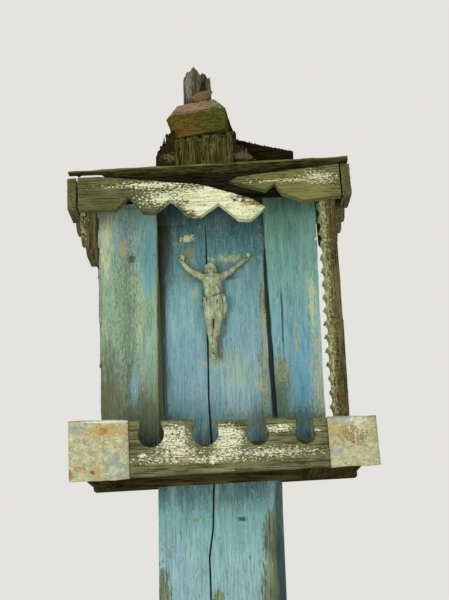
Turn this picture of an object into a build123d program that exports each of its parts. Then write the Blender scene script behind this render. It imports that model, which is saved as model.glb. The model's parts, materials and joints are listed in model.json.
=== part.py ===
from build123d import *
import math
import os

# Wayside shrine: a squared post that carries an open box with a board roof.
# Millimetres. The origin is the middle of the post's foot on the ground, +Z is up and -Y is the front.

# Post
post_width = 282
post_depth = 200
post_below_roof = 5
arris_cut = 28
arris_cut_above = 10
arris_stop_below_box = 70
arris_cut_run = 70
left_arris_cut = 10
crack_width = 4
crack_depth = 30
crack_foot = (-24, 240)
crack_bends = ((-27, 1640), (-28, 1705), (-19, 1762), (-14, 1873), (-22, 2060), (-20, 2397))
crack_head = (-21, 2530)

# Neck, cap and the stub of the cross
neck_width = 162
neck_depth = 120
neck_offset = -20
neck_rise = 205
neck_clearance = 4
cap_foot_width = 139
cap_width = 160
cap_top_width = 100
cap_depth_cut = 12
cap_height = 55
cap_bevel_height = 50
cap_lean = 6.4
cap_turn = 9
cap_offset = -3
stub_width = 80
stub_depth = 62
stub_rise = 126
stub_offset = -1
curl_radius = 58
curl_sweep = 80
curl_width = 30

# Box, leaning to the left on its post
box_lean = 1.7
box_base_height = 1865
box_offset = 12
box_length = 648
box_front_depth = 196
timber = 45
rail_height = 60
board = 24
back_board = 22
floor_thickness = 20

# Parapet
parapet_height_left = 127
parapet_height_right = 102
hole_places = (-152, -37, 74, 174)
hole_diameters = (52, 53, 44, 41)
hole_depth = 56
hole_mouth = 0.78
sheet = 1.5
sheet_left_width = 125
sheet_right_width = 102
sheet_side_width = 80
sheet_fold = 14
side_parapet_foot = 26

# Bearers under the floor, by their gaps to the side parapets
lower_bearer_left_gap = 9
lower_bearer_right_gap = 12
lower_bearer_left_width = 43
lower_bearer_right_width = 110

# Back boards, by their laps over the post and their gaps to the bearers
board_clearance = 2
left_board_lap = 12
right_board_lap = 15
right_board_foot_gap = 44
right_board_head_gap = 22

# Corner posts, by their gap to the side parapets
corner_post_gap = 12
corner_post_width = 45
corner_post_slip = 13
corner_post_thickness = 40
notch_pitch = 31
notch_depth = 8
left_stub_gap = 1
left_stub_width = 41
left_stub_short = 139
left_stub_middle = 179
left_stub_long = 211
left_stub_top_gap = 10

# Fascia and roof
roof_underside = 692
roof_overhang = 8
roof_side_overhang = -3
roof_thickness = 11
roof_board_gap = 3
front_roof_board = 72
second_roof_board = 80
rear_overhang = 12
rotten_roof_end = 88
sound_roof_edge = 22
fascia_height = 80
fascia_gap = 5
front_teeth = (-139, -37, 76)
tooth_foot = 28
tooth_depth = 34
end_flat = 88
left_sag = 7.9
left_sag_start = 50
right_sag = 4.5
break_top = (-20, 80)
break_tip = (46, 70)
break_middle = (90, 56)
break_low = (128, 36)
broken_notch = (149, 50)
broken_notch_foot = (162, 25)
upper_bearer_thickness = 19
rotten_rail_gap = 22

# Rotten ridge boards beside the neck
ridge_thickness = 22
ridge_left_reach = 48
ridge_left_end_rise = 158
ridge_left_rise = 218
ridge_right_reach = 152
ridge_right_end_rise = 154
ridge_right_rise = 198
ridge_below_cap = 8

# Figure
figure_height = 262
figure_centre_x = -10
figure_foot_rise = 281

os.makedirs("parts", exist_ok=True)

post_front = -post_depth / 2
board_front = post_front - back_board
box_front = post_front - box_front_depth
box_inner_front = box_front + board
rail_rear_face = box_inner_front + corner_post_thickness
half_box = box_length / 2
box_rear = post_depth / 2 + rear_overhang
side_inner = half_box - board
corner_post_outer = side_inner - corner_post_gap
corner_post_inner = corner_post_outer - corner_post_width
left_stub_outer = side_inner - left_stub_gap
left_stub_inner = left_stub_outer - left_stub_width
upper_bearer_inner = side_inner - upper_bearer_thickness
left_board_outer = upper_bearer_inner - board_clearance
left_board_inner = post_width / 2 - left_board_lap
right_board_inner = post_width / 2 - right_board_lap
figure_foot_height = box_base_height + figure_foot_rise
lean = math.radians(box_lean)
box_right = Vector(math.cos(lean), 0, math.sin(lean))
box_up = Vector(-math.sin(lean), 0, math.cos(lean))
box_origin = Vector(box_offset, 0, box_base_height)


def front_plane(depth):
    """Plane of the box seen from the front, at a depth, with x to the right and y up."""
    return Plane(origin=box_origin + Vector(0, depth, 0), x_dir=box_right, z_dir=(0, -1, 0))


def level_plane(height):
    """Level plane of the leaning box at a height above its foot."""
    return Plane(origin=box_origin + box_up * height, x_dir=box_right, z_dir=box_up)


def side_plane(across):
    """Plane of the box seen from its right side, with x to the back and y up."""
    return Plane(origin=box_origin + box_right * across, x_dir=(0, 1, 0), z_dir=box_right)


def save(builder, name):
    builder.part.label = name
    export_step(builder.part, f"parts/{name}.step")


def timber_block(name, left, right, front, back, bottom, top):
    """A straight timber of the box, given by its six faces in the box's own directions."""
    with BuildPart(level_plane(bottom)) as block:
        with Locations(((left + right) / 2, (front + back) / 2)):
            Box(right - left, back - front, top - bottom, align=(Align.CENTER, Align.CENTER, Align.MIN))
    save(block, name)
    return block


def parapet_top(across):
    """Height of the front parapet's top edge, which falls from left to right."""
    share = (across + half_box) / box_length
    return parapet_height_left + share * (parapet_height_right - parapet_height_left)


def tooth_line(left, right, teeth):
    """Points along the lower edge of a fascia that has a flat at each end and teeth between them."""
    flats = [(left, left + end_flat)]
    flats += [(tooth - tooth_foot / 2, tooth + tooth_foot / 2) for tooth in teeth]
    flats.append((right - end_flat, right))
    points = [(left, 0), (left + end_flat, 0)]
    for before, after in zip(flats, flats[1:]):
        points.append(((before[1] + after[0]) / 2, tooth_depth))
        points.append((after[0], 0))
        points.append((after[1], 0))
    return points


# Post with the sockets of its rails, the stopped cut along its arris and the drying crack
roof_level_at_post = box_base_height + roof_underside
post_top = roof_level_at_post - post_below_roof
arris_sections = (
    (0, arris_cut),
    (box_base_height - arris_stop_below_box, arris_cut),
    (box_base_height - arris_stop_below_box + arris_cut_run, arris_cut_above),
    (roof_level_at_post, arris_cut_above),
)
crack_left = [(across - crack_width / 2, height) for across, height in crack_bends]
crack_right = [(across + crack_width / 2, height) for across, height in reversed(crack_bends)]
cap_angle = math.radians(cap_lean)
cap_right = Vector(math.cos(cap_angle), 0, math.sin(cap_angle))
cap_up = Vector(-math.sin(cap_angle), 0, math.cos(cap_angle))
neck_head = Vector(neck_offset + cap_offset, 0, post_top + neck_rise)
with BuildPart() as post:
    Box(post_width, post_depth, post_top, align=(Align.CENTER, Align.CENTER, Align.MIN))
    with BuildSketch(Plane.XY.offset(post_top)):
        with Locations((neck_offset, 0)):
            Rectangle(neck_width, neck_depth)
    extrude(amount=neck_rise + neck_width)
    split(bisect_by=Plane(origin=neck_head, x_dir=cap_right, z_dir=cap_up), keep=Keep.BOTTOM)
    for height, cut in arris_sections:
        with BuildSketch(Plane.XY.offset(height)):
            with Locations((post_width / 2, post_front)):
                Polygon((0, 0), (0, cut), (-cut, 0), align=None)
    loft(ruled=True, mode=Mode.SUBTRACT)
    with BuildSketch(Plane.XZ.offset(post_depth / 2)):
        with BuildLine():
            Polyline(crack_foot, *crack_left, crack_head, *crack_right, close=True)
        make_face()
    extrude(amount=-crack_depth, mode=Mode.SUBTRACT)
    with BuildSketch(Plane.XY.offset(box_base_height + timber)):
        with Locations((-post_width / 2, post_front)):
            Polygon((0, 0), (0, left_arris_cut), (left_arris_cut, 0), align=None)
    extrude(amount=roof_underside - rail_height - timber * 2, mode=Mode.SUBTRACT)
    for socket_foot in (0, roof_underside - rail_height):
        socket = level_plane(socket_foot).location * Location((0, post_front + timber / 2, 0))
        with Locations(socket):
            Box(
                post_width * 2,
                timber,
                rail_height,
                align=(Align.CENTER, Align.CENTER, Align.MIN),
                mode=Mode.SUBTRACT,
            )
save(post, "post")

# Rails and bearers
timber_block("lower_back_rail", -side_inner, side_inner, post_front, post_front + timber, 0, rail_height)
for side_name, side, gap, width in (
    ("left", -1, lower_bearer_left_gap, lower_bearer_left_width),
    ("right", 1, lower_bearer_right_gap, lower_bearer_right_width),
):
    outer = side_inner - gap
    ends = sorted((side * outer, side * (outer - width)))
    timber_block(f"lower_bearer_{side_name}", *ends, box_inner_front, post_front, 0, timber)
upper_rail_foot = roof_underside - rail_height
timber_block(
    "upper_back_rail",
    -upper_bearer_inner,
    upper_bearer_inner,
    post_front,
    post_front + timber,
    upper_rail_foot,
    roof_underside,
)
timber_block(
    "upper_front_rail",
    -left_stub_inner + rotten_rail_gap,
    side_inner,
    box_inner_front,
    rail_rear_face,
    upper_rail_foot,
    roof_underside,
)
for side_name, side in (("left", -1), ("right", 1)):
    ends = sorted((side * upper_bearer_inner, side * side_inner))
    timber_block(
        f"upper_bearer_{side_name}", *ends, rail_rear_face, box_rear, upper_rail_foot, roof_underside
    )

# Floor boards on the bearers
floor_top = timber + floor_thickness
floor_split = (box_inner_front + board_front) / 2
timber_block(
    "floor_board_front", -side_inner, side_inner, box_inner_front, floor_split - 1, timber, floor_top
)
timber_block("floor_board_rear", -side_inner, side_inner, floor_split + 1, board_front, timber, floor_top)

# Front parapet with round holes that have broken through its top edge
with BuildPart() as parapet_front:
    with BuildSketch(front_plane(box_inner_front)):
        with BuildLine():
            Polyline(
                (-half_box, 0),
                (half_box, 0),
                (half_box, parapet_height_right),
                (-half_box, parapet_height_left),
                close=True,
            )
        make_face()
        for place, diameter in zip(hole_places, hole_diameters):
            hole_middle = parapet_top(place) - hole_depth + diameter / 2
            with Locations((place, hole_middle)):
                Circle(diameter / 2, mode=Mode.SUBTRACT)
            with Locations((place, hole_middle + hole_depth / 2)):
                Rectangle(diameter * hole_mouth, hole_depth, mode=Mode.SUBTRACT)
    extrude(amount=board)
save(parapet_front, "parapet_front")

for side_name, side, height in (("left", -1, parapet_height_left), ("right", 1, parapet_height_right)):
    ends = sorted((side * side_inner, side * half_box))
    timber_block(
        f"parapet_{side_name}", *ends, box_inner_front, post_front + timber, side_parapet_foot, height - 1
    )

# Sheet metal wrapped round the corners of the parapet
for side_name, side, width, height in (
    ("left", -1, sheet_left_width, parapet_height_left),
    ("right", 1, sheet_right_width, parapet_height_right),
):
    inner = side * (half_box - width)
    outer = side * (half_box + sheet)
    with BuildPart() as corner_sheet:
        with BuildSketch(front_plane(box_front)):
            with BuildLine():
                Polyline(
                    (outer, 0),
                    (inner, 0),
                    (inner, parapet_top(inner) + sheet),
                    (outer, parapet_top(side * half_box) + sheet),
                    close=True,
                )
            make_face()
        extrude(amount=sheet)
        with BuildSketch(side_plane(side * half_box)):
            with Locations((box_front, side_parapet_foot)):
                Rectangle(sheet_side_width, height - 1 - side_parapet_foot, align=(Align.MIN, Align.MIN))
        extrude(amount=side * sheet)
        with BuildSketch(front_plane(box_front)):
            with BuildLine():
                Polyline(
                    (side * half_box, parapet_top(side * half_box)),
                    (inner, parapet_top(inner)),
                    (inner, parapet_top(inner) + sheet),
                    (side * half_box, parapet_top(side * half_box) + sheet),
                    close=True,
                )
            make_face()
        extrude(amount=-sheet_fold)
    save(corner_sheet, f"tin_corner_{side_name}")

# Back boards, lapped over the edges of the post's face
with BuildPart() as back_board_left:
    with BuildSketch(front_plane(post_front)):
        with Locations((-left_board_inner, timber)):
            left_board_width = left_board_outer - left_board_inner
            Rectangle(left_board_width, roof_underside - timber, align=(Align.MAX, Align.MIN))
    extrude(amount=back_board)
save(back_board_left, "back_board_left")

with BuildPart() as back_board_right:
    with BuildSketch(front_plane(post_front)):
        with BuildLine():
            Polyline(
                (right_board_inner, timber),
                (upper_bearer_inner - right_board_foot_gap, timber),
                (upper_bearer_inner - right_board_head_gap, roof_underside),
                (right_board_inner, roof_underside),
                close=True,
            )
        make_face()
    extrude(amount=back_board)
save(back_board_right, "back_board_right")

# Corner posts: the right one with its notched inner edge, the left one broken off under the roof
with BuildPart() as corner_post_right:
    with BuildSketch(front_plane(rail_rear_face)):
        with BuildLine():
            Polyline(
                (corner_post_inner - corner_post_slip, floor_top),
                (corner_post_outer - corner_post_slip, floor_top),
                (corner_post_outer, upper_rail_foot),
                (corner_post_inner, upper_rail_foot),
                close=True,
            )
        make_face()
        notch_count = int((upper_rail_foot - parapet_height_right) / notch_pitch)
        notch_radius = (notch_pitch**2 / 4 + notch_depth**2) / (2 * notch_depth)
        for index in range(notch_count):
            height = upper_rail_foot - (index + 0.5) * notch_pitch
            slipped = corner_post_slip * (upper_rail_foot - height) / (upper_rail_foot - floor_top)
            edge = corner_post_inner - slipped
            with Locations((edge + notch_depth - notch_radius, height)):
                Circle(notch_radius, mode=Mode.SUBTRACT)
    extrude(amount=corner_post_thickness)
save(corner_post_right, "corner_post_right")

stub_top = roof_underside - fascia_gap - left_stub_top_gap
with BuildPart() as corner_post_left:
    with BuildSketch(front_plane(rail_rear_face)):
        with BuildLine():
            Polyline(
                (-left_stub_outer, stub_top),
                (-left_stub_outer, roof_underside - left_stub_short),
                (-left_stub_outer + left_stub_width * 0.4, roof_underside - left_stub_middle),
                (-left_stub_inner - left_stub_width * 0.1, roof_underside - left_stub_long),
                (-left_stub_inner, roof_underside - left_stub_long),
                (-left_stub_inner, stub_top),
                close=True,
            )
        make_face()
    extrude(amount=corner_post_thickness)
save(corner_post_left, "corner_post_left_stub")

# Fascia with cut teeth; the front board has split and its left part has dropped
fascia_foot = roof_underside - fascia_gap - fascia_height


def fascia_face(left, right, teeth):
    """Outline of a sound fascia board, with its foot on y = 0."""
    with BuildSketch() as face:
        with BuildLine():
            top = ((right, fascia_height), (left, fascia_height))
            Polyline(*tooth_line(left, right, teeth), *top, close=True)
        make_face()
    return face.sketch


def sagged(point):
    """Where a point of the sound board lies on the left piece, which has dropped towards the break."""
    across, height = point
    drop = max(0, across + side_inner - left_sag_start) * math.tan(math.radians(left_sag))
    return across, fascia_foot + height - drop


def dropped(point):
    """Where a point of the sound board lies on the right piece, which hangs from its right end."""
    across, height = point
    return across, fascia_foot + height - (side_inner - across) * math.tan(math.radians(right_sag))


front_line = tooth_line(-side_inner, side_inner, front_teeth)
left_line = front_line[:-3]
right_line = front_line[-2:]
with BuildPart() as fascia_front_left:
    with BuildSketch(front_plane(box_inner_front)):
        with BuildLine():
            left_top = [break_low, break_middle, break_top, (-side_inner + left_sag_start, fascia_height)]
            left_top.append((-side_inner, fascia_height))
            Polyline(*[sagged(point) for point in left_line + left_top], close=True)
        make_face()
    extrude(amount=board)
save(fascia_front_left, "fascia_front_left")

with BuildPart() as fascia_front_right:
    with BuildSketch(front_plane(box_inner_front)):
        with BuildLine():
            right_break = [break_tip, break_low, broken_notch, broken_notch_foot]
            right_top = [(side_inner, fascia_height), (break_tip[0] + 20, fascia_height)]
            Polyline(*[dropped(point) for point in right_break + right_line + right_top], close=True)
        make_face()
    extrude(amount=board)
save(fascia_front_right, "fascia_front_right")

side_tooth_pitch = (box_rear - box_front - 2 * end_flat) / 3
side_teeth = [box_front + end_flat + side_tooth_pitch * share for share in (1, 2)]
side_fascia_face = fascia_face(box_front, box_rear, side_teeth)
for side_name, across in (("left", -half_box), ("right", side_inner)):
    with BuildPart() as side_fascia:
        with BuildSketch(side_plane(across)):
            with Locations((0, fascia_foot)):
                add(side_fascia_face)
        extrude(amount=board)
    save(side_fascia, f"fascia_{side_name}")

# Roof boards
roof_half = half_box + roof_side_overhang
roof_top = roof_underside + roof_thickness
roof_front = box_front - roof_overhang
second_front = roof_front + front_roof_board + roof_board_gap
third_front = second_front + second_roof_board + roof_board_gap
neck_front = -neck_depth / 2 - neck_clearance
neck_left = neck_offset - box_offset - neck_width / 2 - neck_clearance + roof_underside * math.sin(lean)
neck_right = neck_left + neck_width + neck_clearance * 2
with BuildPart() as roof_board_front:
    with BuildSketch(level_plane(roof_underside)):
        with BuildLine():
            Polyline(
                (-roof_half, roof_front),
                (roof_half, roof_front),
                (roof_half, roof_front + front_roof_board),
                (-roof_half + rotten_roof_end, roof_front + front_roof_board),
                (-roof_half + rotten_roof_end * 0.85, roof_front + sound_roof_edge + 4),
                (-roof_half, roof_front + sound_roof_edge),
                close=True,
            )
        make_face()
    extrude(amount=roof_thickness)
save(roof_board_front, "roof_board_front")

for name, left, right, front, back in (
    ("second", -roof_half, roof_half, second_front, third_front - roof_board_gap),
    ("third", -roof_half, roof_half, third_front, neck_front - roof_board_gap),
    ("left", -roof_half, neck_left, neck_front, -neck_front),
    ("right", neck_right, roof_half, neck_front, -neck_front),
    ("rear", -roof_half, roof_half, -neck_front + roof_board_gap, box_rear),
):
    timber_block(f"roof_board_{name}", left, right, front, back, roof_underside, roof_top)

# Rotten ridge boards that stand on the roof against the upright neck
left_wall = neck_offset - neck_width / 2
right_wall = neck_offset + neck_width / 2
cap_foot_level = (neck_head.Z - box_base_height) / math.cos(lean)
left_top = cap_foot_level - neck_width * math.tan(cap_angle) - ridge_below_cap
left_tip = roof_top + ridge_left_rise
right_top = roof_top + ridge_right_rise
right_end = roof_top + ridge_right_end_rise


def beside_neck(across, height):
    """The point of the leaning box that is at a height in it and upright over a place on the ground."""
    return (across - box_offset) / math.cos(lean) + height * math.tan(lean), height


ridge_left_outline = [
    beside_neck(left_wall, roof_top),
    beside_neck(left_wall, left_top),
    beside_neck(left_wall - ridge_left_reach * 0.3, left_top),
    beside_neck(left_wall - ridge_left_reach * 0.5, left_tip),
    beside_neck(left_wall - ridge_left_reach * 0.65, (left_top + left_tip) / 2),
    beside_neck(left_wall - ridge_left_reach, roof_top + ridge_left_end_rise),
    beside_neck(left_wall - ridge_left_reach, roof_top),
]
ridge_right_outline = [
    beside_neck(right_wall, roof_top),
    beside_neck(right_wall, right_top),
    beside_neck(right_wall + ridge_right_reach * 0.45, (right_top + right_end) / 2),
    beside_neck(right_wall + ridge_right_reach, right_end),
    beside_neck(right_wall + ridge_right_reach, roof_top),
]
for side_name, outline in (("left", ridge_left_outline), ("right", ridge_right_outline)):
    with BuildPart() as ridge_board:
        with BuildSketch(front_plane(ridge_thickness / 2)):
            with BuildLine():
                Polyline(*outline, close=True)
            make_face()
        extrude(amount=ridge_thickness)
    save(ridge_board, f"ridge_board_{side_name}")

# Cap block, tipped to the left and turned a little, wider at its top than at its foot
cap_sections = (
    (0, cap_foot_width),
    (cap_height, cap_width),
    (cap_height + cap_bevel_height, cap_top_width),
)
cap_plane = Plane(origin=neck_head, x_dir=cap_right, z_dir=cap_up)
with BuildPart() as cap_block:
    for height, width in cap_sections:
        with BuildSketch(cap_plane.offset(height)):
            Rectangle(width, width - cap_depth_cut, rotation=-cap_turn)
    loft(ruled=True)
save(cap_block, "cap_block")

# Splintered stub of the cross, standing upright on the leaning cap
cap_top = cap_height + cap_bevel_height
stub_foot = neck_head + cap_up * cap_top + cap_right * stub_offset
stub_tilt = math.tan(cap_angle) * stub_width / 2
splinters = (
    (-0.5, 0.45),
    (-0.43, 0.8),
    (-0.36, 0.88),
    (-0.2, 0.86),
    (-0.1, 0.91),
    (-0.04, 1.0),
    (0.04, 0.8),
    (0.2, 0.79),
    (0.3, 0.84),
    (0.38, 0.66),
    (0.47, 0.73),
    (0.5, 0.5),
)
with BuildPart() as cross_stub:
    stub_rear = stub_foot + Vector(0, stub_depth / 2, 0)
    with BuildSketch(Plane(origin=stub_rear, x_dir=(1, 0, 0), z_dir=(0, -1, 0))):
        with BuildLine():
            Polyline(
                (-stub_width / 2, -stub_tilt),
                *[(across * stub_width, height * stub_rise) for across, height in splinters],
                (stub_width / 2, stub_tilt),
                close=True,
            )
        make_face()
    extrude(amount=stub_depth)
save(cross_stub, "cross_stub")

# Curled scrap of sheet metal on the cap, in front of the stub
curl_front = stub_foot - Vector(0, stub_depth / 2, 0)
with BuildPart() as tin_curl:
    with BuildSketch(Plane(origin=curl_front, x_dir=cap_right, z_dir=(0, -1, 0))):
        with BuildLine():
            CenterArc((0, curl_radius), curl_radius, -105, curl_sweep)
            offset(amount=sheet, side=Side.LEFT)
        make_face()
    extrude(amount=curl_width)
save(tin_curl, "tin_curl")


# Cast figure on the post's face
def at(across, height, forward):
    """A point of the figure, as shares of its height across, up from its feet and out from the post."""
    return Vector(
        figure_centre_x + across * figure_height,
        post_front - forward * figure_height,
        figure_foot_height + height * figure_height,
    )


def limb(start, end, start_radius, end_radius):
    """A tapered round limb with a blunt far end."""
    along = end - start
    for foot, radius, tip_radius, length in (
        (start, start_radius, end_radius, along.length),
        (end, end_radius, end_radius * 0.6, end_radius * 0.7),
    ):
        with Locations(Plane(origin=foot, z_dir=along).location):
            Cone(radius, tip_radius, length, align=(Align.CENTER, Align.CENTER, Align.MIN))


neck_point = at(0.005, 0.81, 0.05)
head = at(-0.005, 0.905, 0.07)
left_shoulder = at(-0.065, 0.805, 0.05)
right_shoulder = at(0.075, 0.81, 0.05)
left_elbow = at(-0.215, 0.91, 0.04)
right_elbow = at(0.24, 0.9, 0.04)
left_hand = at(-0.27, 0.995, 0.025)
right_hand = at(0.365, 1.005, 0.025)
left_hip = at(-0.04, 0.56, 0.05)
right_hip = at(0.05, 0.56, 0.05)
left_knee = at(-0.02, 0.3, 0.075)
right_knee = at(0.03, 0.3, 0.075)
left_foot = at(-0.02, 0.06, 0.035)
right_foot = at(0.0, 0.055, 0.045)

with BuildPart() as corpus:
    for height, width, depth, across in (
        (0.845, 0.15, 0.08, 0.005),
        (0.77, 0.17, 0.1, 0.005),
        (0.66, 0.115, 0.08, 0.0),
        (0.57, 0.13, 0.09, 0.0),
    ):
        middle = at(across, height, 0.05)
        with BuildSketch(Plane(origin=middle, z_dir=(0, 0, 1))):
            Ellipse(width * figure_height / 2, depth * figure_height / 2)
    loft()
    limb(neck_point, head, 0.032 * figure_height, 0.028 * figure_height)
    with Locations(head):
        Sphere(0.047 * figure_height)
    left_arm = (left_shoulder, left_elbow, left_hand)
    right_arm = (right_shoulder, right_elbow, right_hand)
    for shoulder, elbow, hand in (left_arm, right_arm):
        limb(shoulder, elbow, 0.036 * figure_height, 0.028 * figure_height)
        limb(elbow, hand, 0.027 * figure_height, 0.02 * figure_height)
    for hip, knee, foot in ((left_hip, left_knee, left_foot), (right_hip, right_knee, right_foot)):
        limb(hip, knee, 0.052 * figure_height, 0.036 * figure_height)
        limb(knee, foot, 0.035 * figure_height, 0.022 * figure_height)
    with BuildSketch(Plane(origin=at(0.003, 0.62, 0.05), z_dir=(0, 0, 1))):
        Ellipse(0.075 * figure_height, 0.05 * figure_height)
    with BuildSketch(Plane(origin=at(0.003, 0.43, 0.055), z_dir=(0, 0, 1))):
        Ellipse(0.09 * figure_height, 0.055 * figure_height)
    loft()
    split(bisect_by=Plane.XZ.offset(post_depth / 2), keep=Keep.TOP)
save(corpus, "corpus")
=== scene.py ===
# %% [markdown]
# A wayside shrine: a squared post with a small open box, a cut fascia, a low parapet and a cast figure. The
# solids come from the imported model, in metres, with the post's foot at the origin, and every piece made here
# keeps to their places.

# %% Load the model
import json
import math
import random
import bpy
from mathutils import Matrix, Vector


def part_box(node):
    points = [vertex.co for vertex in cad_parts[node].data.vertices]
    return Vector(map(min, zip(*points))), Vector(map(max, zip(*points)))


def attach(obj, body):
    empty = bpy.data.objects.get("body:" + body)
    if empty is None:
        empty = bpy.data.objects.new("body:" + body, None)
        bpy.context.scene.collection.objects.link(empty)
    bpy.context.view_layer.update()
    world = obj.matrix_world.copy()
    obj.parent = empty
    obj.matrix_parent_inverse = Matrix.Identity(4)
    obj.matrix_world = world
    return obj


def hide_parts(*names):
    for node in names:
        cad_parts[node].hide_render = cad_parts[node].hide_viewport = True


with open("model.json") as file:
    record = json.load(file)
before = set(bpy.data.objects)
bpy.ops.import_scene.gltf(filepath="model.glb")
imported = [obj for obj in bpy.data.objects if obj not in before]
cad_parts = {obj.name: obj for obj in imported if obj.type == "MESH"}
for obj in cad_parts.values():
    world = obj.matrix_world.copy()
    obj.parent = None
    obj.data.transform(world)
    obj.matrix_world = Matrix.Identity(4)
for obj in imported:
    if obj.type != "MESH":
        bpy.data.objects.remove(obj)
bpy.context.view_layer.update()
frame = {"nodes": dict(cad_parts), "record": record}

MM = 0.001
METRE = 1000
nodes = frame["nodes"]

# %% [markdown]
# The photograph was taken from standing eye height, close to the post, looking up and a little turned about
# the line of sight. A camera there gives the same converging lines. It could be placed by eye in the
# viewport, but numbers can be corrected one at a time.

# %% Camera
IMAGE_HEIGHT = 600
SENSOR_HEIGHT = 36
FAR_END = 50
EYE = Vector((0.021, -2.395, 1.611))
LOOK_UP = math.radians(16.7)
ROLL = math.radians(1.6)
FOCAL_PIXELS = 1000

turn = Matrix.Rotation(math.radians(90) + LOOK_UP, 3, "X") @ Matrix.Rotation(-ROLL, 3, "Z")
bpy.ops.object.camera_add(location=EYE, rotation=turn.to_euler())
camera = bpy.context.object
camera.name = "camera"
camera.data.sensor_fit = "VERTICAL"
camera.data.sensor_height = SENSOR_HEIGHT
camera.data.lens = SENSOR_HEIGHT * FOCAL_PIXELS / IMAGE_HEIGHT
camera.data.clip_end = FAR_END
bpy.context.scene.camera = camera
print("lens", round(camera.data.lens, 1), "mm")

# %% [markdown]
# Colours are written as sRGB hex, as a paint chart gives them, and turned to the linear values that shaders
# use. Every material is a small tree of nodes, and helpers add a node and link its inputs.

# %% Colours and nodes
def linear(channel):
    return channel / 12.92 if channel <= 0.04045 else ((channel + 0.055) / 1.055) ** 2.4


def colour(text):
    parts = [int(text[i : i + 2], 16) / 255 for i in (1, 3, 5)]
    return (*[linear(part) for part in parts], 1)


def add(tree, kind, inputs=(), **settings):
    node = tree.nodes.new("ShaderNode" + kind)
    for name, value in settings.items():
        setattr(node, name, value)
    for key, value in dict(inputs).items():
        if isinstance(value, bpy.types.NodeSocket):
            tree.links.new(value, node.inputs[key])
        else:
            node.inputs[key].default_value = value
    return node


def reckon(tree, operation, *values, **settings):
    return add(tree, "Math", dict(enumerate(values)), operation=operation, **settings).outputs[0]


def between(tree, value, low, high):
    return add(tree, "MapRange", {"Value": value, "From Min": low, "From Max": high}).outputs[0]


print("blue paint", [round(part, 3) for part in colour("#6F9EB8")])

# %% [markdown]
# Studio light: a large soft lamp in front at the left, a weaker one at the right, and one behind and above.
# The real light is overcast and reaches far under the roof, so the front lamps stand low.

# %% Lamps
LAMP_SIZE = 2.6
LAMP_SPREAD = math.radians(100)
BOX_MIDDLE = Vector((0, -0.15, 2.2))


def put_lamp(name, place, power):
    bpy.ops.object.light_add(type="AREA", location=place)
    lamp = bpy.context.object
    lamp.name = name
    lamp.data.size = LAMP_SIZE
    lamp.data.energy = power
    lamp.data.spread = LAMP_SPREAD
    lamp.rotation_euler = (BOX_MIDDLE - Vector(place)).to_track_quat("-Z", "Y").to_euler()


put_lamp("key_lamp", (-2.6, -3.4, 1.5), 44)
put_lamp("fill_lamp", (2.6, -3.4, 1.1), 28)
put_lamp("rear_lamp", (1.6, 3.4, 4.2), 44)
print("lamps", len(bpy.data.lights))

# %% [markdown]
# A painted board is wood, coats of colour, and worn places where the wood is bare again. Spots are noise
# stretched to a size in millimetres: a long thin one is a wood fibre, a round one a flake. A patch gathers
# such spots round one real place, and a large scatter breaks its edge into flakes. An image could be painted
# instead, but this stays sharp at any distance.

# %% Spots and patches
GRAIN_UP = (8, 8, 170)
GRAIN_ACROSS = (170, 8, 8)
GRAIN_BACK = (8, 170, 8)
BITS = (6, 6, 7)
SHREDS = (5, 5, 20)
LONG = (8, 8, 18)
NOISE_DETAIL = 5
NOISE_ROUGHNESS = 0.62


def stretched(tree, size, shift=0):
    where = add(tree, "TexCoord").outputs["Object"]
    scale = [METRE / length for length in size]
    settings = {"Vector": where, "Scale": scale, "Location": (shift, -shift, shift)}
    return add(tree, "Mapping", settings).outputs[0]


def spots(tree, size, low, high, shift=0):
    settings = {"Vector": stretched(tree, size, shift), "Scale": 1, "Detail": NOISE_DETAIL}
    noise = add(tree, "TexNoise", {**settings, "Roughness": NOISE_ROUGHNESS}).outputs[0]
    return between(tree, noise, low, high)


def patch(tree, place, reach, scatter=1.5, flake=BITS, soft=0.15, shift=0):
    where = add(tree, "TexCoord").outputs["Object"]
    middle = (place[0] * MM, 0, place[1] * MM)
    away = add(tree, "VectorMath", {0: where, 1: middle}, operation="SUBTRACT").outputs[0]
    shares = (METRE / reach[0], 0, METRE / reach[1])
    away = add(tree, "VectorMath", {0: away, 1: shares}, operation="MULTIPLY").outputs[0]
    away = add(tree, "VectorMath", {0: away}, operation="LENGTH").outputs["Value"]
    uneven = reckon(tree, "MULTIPLY_ADD", spots(tree, flake, 0, 1, shift), scatter * 2, away)
    return between(tree, uneven, 1 + scatter + soft, 1 + scatter - soft)


print("flakes of", BITS, SHREDS, "and", LONG, "mm")

# %% [markdown]
# Bands change a colour with height, with borders that waver like a stain. Coats lays colours over each
# other, each with a mask and a strength, and stained does so with patches. A surface starts as a plain rough
# material and is finished with a colour and reliefs: each is a mask that stands out by a depth in
# millimetres or, where that is negative, is sunk in.

# %% Bands, coats and surfaces
WAVER = 60


def bands(tree, stops):
    where = add(tree, "TexCoord").outputs["Object"]
    height = add(tree, "SeparateXYZ", {0: where}).outputs["Z"]
    height = reckon(tree, "MULTIPLY_ADD", spots(tree, (50, 50, 90), 0, 1, 11), WAVER * MM, height)
    first, last = stops[0][0], stops[-1][0]
    share = between(tree, height, (first + WAVER / 2) * MM, (last + WAVER / 2) * MM)
    ramp = add(tree, "ValToRGB", {0: share})
    elements = ramp.color_ramp.elements
    elements[0].color, elements[1].color = colour(stops[0][1]), colour(stops[-1][1])
    for place, tone in stops[1:-1]:
        elements.new((place - first) / (last - first)).color = colour(tone)
    return ramp.outputs[0]


def any_of(tree, masks):
    joined = masks[0]
    for mask in masks[1:]:
        joined = reckon(tree, "MAXIMUM", joined, mask)
    return joined


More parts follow.
